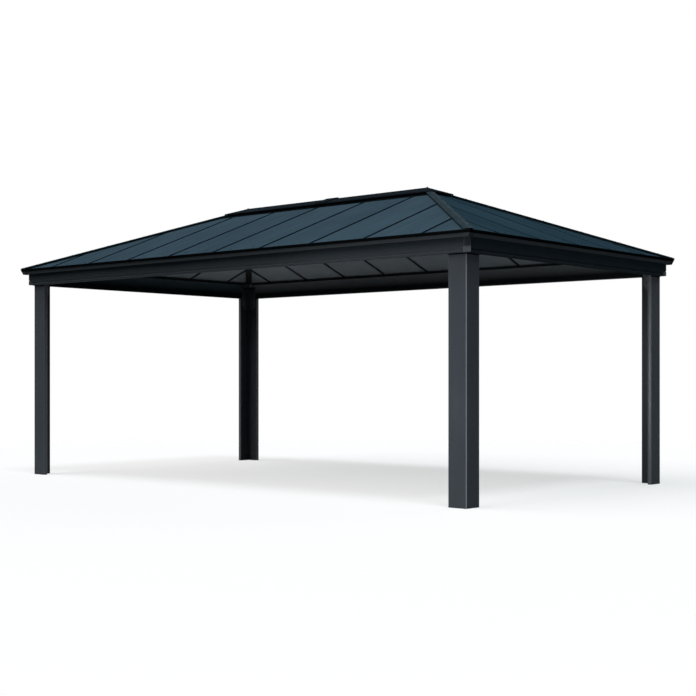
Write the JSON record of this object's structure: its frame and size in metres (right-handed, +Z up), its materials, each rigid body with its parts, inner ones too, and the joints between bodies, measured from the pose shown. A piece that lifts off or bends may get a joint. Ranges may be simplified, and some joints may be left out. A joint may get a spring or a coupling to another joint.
{
  "type": "metal gazebo",
  "caption": "Open rectangular metal gazebo: hollow angle-shaped corner posts carry moulded beams and a hip roof of flat panels with seam strips, hip caps and a vented ridge cap.",
  "frame": {"origin": "on the ground under the middle of the roof", "axes": "+X along the long side, -Y to the front, +Z up"},
  "size_m": [6.1, 3.57, 2.9812],
  "materials": {
    "post_paint": "matt charcoal powder coat",
    "beam_paint": "matt dark charcoal powder coat",
    "trim_paint": "matt black powder coat",
    "panel_paint": "satin blue-grey coated sheet",
    "hip_paint": "satin grey-green coated sheet"
  },
  "bodies": {
    "root": {"post_front_right": "post_paint", "post_back_right": "post_paint", "post_back_left": "post_paint", "post_front_left": "post_paint", "beam_corner_front_right": "beam_paint", "beam_corner_back_right": "beam_paint", "beam_corner_back_left": "beam_paint", "beam_corner_front_left": "beam_paint", "eave_corner_front_right": "trim_paint", "eave_corner_back_right": "trim_paint", "eave_corner_back_left": "trim_paint", "eave_corner_front_left": "trim_paint", "hip_rafter_front_right": "trim_paint", "hip_rafter_back_right": "trim_paint", "hip_rafter_back_left": "trim_paint", "hip_rafter_front_left": "trim_paint", "hip_cap_front_right": "hip_paint", "hip_cap_back_right": "hip_paint", "hip_cap_back_left": "hip_paint", "hip_cap_front_left": "hip_paint", "beam_front": "beam_paint", "beam_right": "beam_paint", "beam_back": "beam_paint", "beam_left": "beam_paint", "eave_front": "trim_paint", "eave_right": "trim_paint", "eave_back": "trim_paint", "eave_left": "trim_paint", "rafters_front": "trim_paint", "rafters_right": "trim_paint", "rafters_back": "trim_paint", "rafters_left": "trim_paint", "panels_front": "panel_paint", "panels_right": "panel_paint", "panels_back": "panel_paint", "panels_left": "panel_paint", "seams_front": "trim_paint", "seams_right": "trim_paint", "seams_back": "trim_paint", "seams_left": "trim_paint", "ridge_beam": "trim_paint", "vent_curb": "trim_paint", "ridge_cap_left": "trim_paint", "ridge_cap_right": "trim_paint", "ridge_joint": "trim_paint"}
  },
  "joints": []
}
